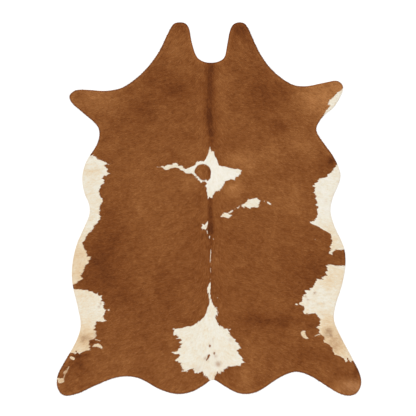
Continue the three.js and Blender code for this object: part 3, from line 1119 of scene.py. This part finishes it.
def make_locks():
    """All the locks: where each has its root, sides, ridge and tip, and how brown and light it is."""
    random = np.random.default_rng(LOCK_SEED)
    x, y, depth = lock_roots(random)
    count = len(x)
    run = flow(x, y)
    turn = random.normal(0, LOCK_STRAY, count)
    cos, sin = np.cos(turn), np.sin(turn)
    run = np.column_stack((run[:, 0] * cos - run[:, 1] * sin, run[:, 0] * sin + run[:, 1] * cos))
    run /= np.linalg.norm(run, axis=1)[:, None]
    length = random.uniform(*LOCK_LENGTH, count)

    # Short locks at a border keep it crisp, and none reaches far past the edge of the hide.
    middle = np.column_stack((x, y)) + run * (0.5 * length)[:, None]
    border = np.abs(whiteness(middle[:, 0], middle[:, 1]))
    length = np.minimum(length, LOCK_LENGTH_AT_BORDER + LOCK_GAIN * border)
    for _ in range(TRIMS):
        tip = np.column_stack((x, y)) + run * length[:, None]
        near = depth < TRIM_BELT
        past = np.zeros(count)
        past[near] = -OVERHANG - depth_inside(tip[near, 0], tip[near, 1], EDGE)
        length = np.where(past > 0, np.maximum(TRIM_LEAVES * length, length - TRIM * past), length)
    root = np.column_stack((x, y))
    tip = root + run * length[:, None]
    middle = root + run * (0.5 * length)[:, None]
    tip_depth = np.maximum(depth_inside(tip[:, 0], tip[:, 1], EDGE), -OVERHANG)

    across = np.column_stack((-run[:, 1], run[:, 0]))
    half = random.uniform(*LOCK_HALF_WIDTH, count) * np.clip(length / LOCK_LENGTH[0], LOCK_NARROWEST, 1)
    side = root + run * (LOCK_SIDES_AT * length)[:, None]
    ridge = root + run * (LOCK_RIDGE_AT * length)[:, None]
    ground = coat_top(depth, x, y)
    far_ground = coat_top(np.maximum(tip_depth, 0), tip[:, 0], tip[:, 1])
    far_ground -= np.clip(-tip_depth / OVERHANG, 0, 1) * TIP_DROOP
    left = np.column_stack((side - across * half[:, None], ground - LOCK_ROOT_DEPTH))
    right = np.column_stack((side + across * half[:, None], ground - LOCK_ROOT_DEPTH))
    crown = np.column_stack((ridge, ground + (far_ground - ground) * LOCK_RIDGE_AT + LOCK_RIDGE_HEIGHT))
    point = np.column_stack((tip, far_ground + random.uniform(*LOCK_TIP_HEIGHT, count)))

    x, y = middle[:, 0], middle[:, 1]
    depth = np.maximum(depth_inside(x, y, EDGE), 0)
    white = whiteness(x, y) + random.normal(0, STRAY, count) > 0
    tone = np.where(white, white_tone(x, y), brown_tone(x, y, depth))
    tone += random.normal(0, LOCK_TONE, count)
    pale = pale_share(x, y) + random.uniform(0, PALE_HAIR, count)
    brown = np.where(white, grey_share(x, y, depth), 1 - pale)
    corners = np.stack((left, right, crown, point), 1)
    return {"corners": corners, "brown": brown, "tone": tone, "y": root[:, 1]}


# A lock is a closed solid of four triangles between its left side, right side, ridge and tip.
LOCK_FACES = np.array([(0, 3, 2), (1, 2, 3), (0, 2, 1), (0, 1, 3)])


def add_chart(piece, brown, tone):
    """Maps each lock to its own colours on the chart, darker at the root and lighter at the tip."""
    u = CHART_MARGIN + (1 - 2 * CHART_MARGIN) * brown
    u = u[:, None] + np.array((-1, 1, 0, 0)) * CHART_HALF_WIDTH
    v = np.clip(tone[:, None] + np.array(CHART_TONES), CHART_MARGIN, 1 - CHART_MARGIN)
    places = np.stack((u, v), -1).reshape(-1, 2)
    layer = piece.data.uv_layers.new(name="OFBake")
    corner = np.empty(len(piece.data.loops), int)
    piece.data.loops.foreach_get("vertex_index", corner)
    layer.data.foreach_set("uv", places[corner].astype(np.float32).ravel())


def make_hair(colours):
    """The locks as a few pieces, from the tail to the neck."""
    locks = make_locks()
    order = np.argsort(locks["y"], kind="stable")
    names = ("hair_hind_legs", "hair_hips", "hair_belly", "hair_chest", "hair_shoulders_and_neck")
    material = hair_material(colours)
    pieces = []
    for name, chosen in zip(names, np.array_split(order, len(names))):
        corners = locks["corners"][chosen].reshape(-1, 3)
        faces = (LOCK_FACES[None] + 4 * np.arange(len(chosen))[:, None, None]).reshape(-1, 3)
        piece = new_piece(name, corners, faces, material)
        add_chart(piece, locks["brown"][chosen], locks["tone"][chosen])
        pieces.append(piece)
    return pieces


# ---- stage

FLOOR_SIZE = 16
FLOOR_GAP = 0.0002  # between the skin and the floor
SURROUND = 0.75
KEY_ENERGY = 1.65
KEY_ANGLE = math.radians(28)
KEY_TOWARDS = (0.35, -0.75, -1.25)
VIEW_WIDTH = 2.450
VIEW_CENTRE = (-0.0056, 0.0056)


def make_stage():
    """A pale floor, a soft key light and an even white surround."""
    bpy.ops.mesh.primitive_plane_add(size=FLOOR_SIZE)
    floor = bpy.context.object
    floor.name = "floor"
    floor.location.z = -FLOOR_GAP
    material, nodes = new_material("pale floor")
    inputs = {"Base Color": (0.93, 0.93, 0.93, 1), "Roughness": 0.9, "Specular IOR Level": 0.0}
    finish_material(nodes, nodes.add("ShaderNodeBsdfPrincipled", inputs))
    floor.data.materials.append(material)

    world = bpy.data.worlds.new("studio")
    world.use_nodes = True
    surround = Nodes(world.node_tree)
    light = surround.add("ShaderNodeBackground", {"Color": (1, 1, 1, 1), "Strength": SURROUND})
    surround.add("ShaderNodeOutputWorld", {"Surface": light.outputs[0]})
    bpy.context.scene.world = world

    key = bpy.data.lights.new("key", "SUN")
    key.energy = KEY_ENERGY
    key.angle = KEY_ANGLE
    lamp = bpy.data.objects.new("key", key)
    lamp.rotation_euler = Vector(KEY_TOWARDS).to_track_quat("-Z", "Y").to_euler()
    bpy.context.scene.collection.objects.link(lamp)
    bpy.context.scene.view_settings.view_transform = "Standard"


def make_camera():
    """Straight above the rug, with a long lens."""
    camera = bpy.data.cameras.new("camera")
    camera.lens = 85
    camera.sensor_width = 36
    camera.clip_end = 50
    eye = bpy.data.objects.new("camera", camera)
    distance = VIEW_WIDTH * camera.lens / camera.sensor_width
    eye.location = (*VIEW_CENTRE, cad_box[1].z + distance)
    bpy.context.scene.collection.objects.link(eye)
    bpy.context.scene.camera = eye


# ---- the rug

make_stage()
make_camera()
colours = coat_colour()
coat = make_coat(colours)
skin = make_skin()
hair = make_hair(colours)
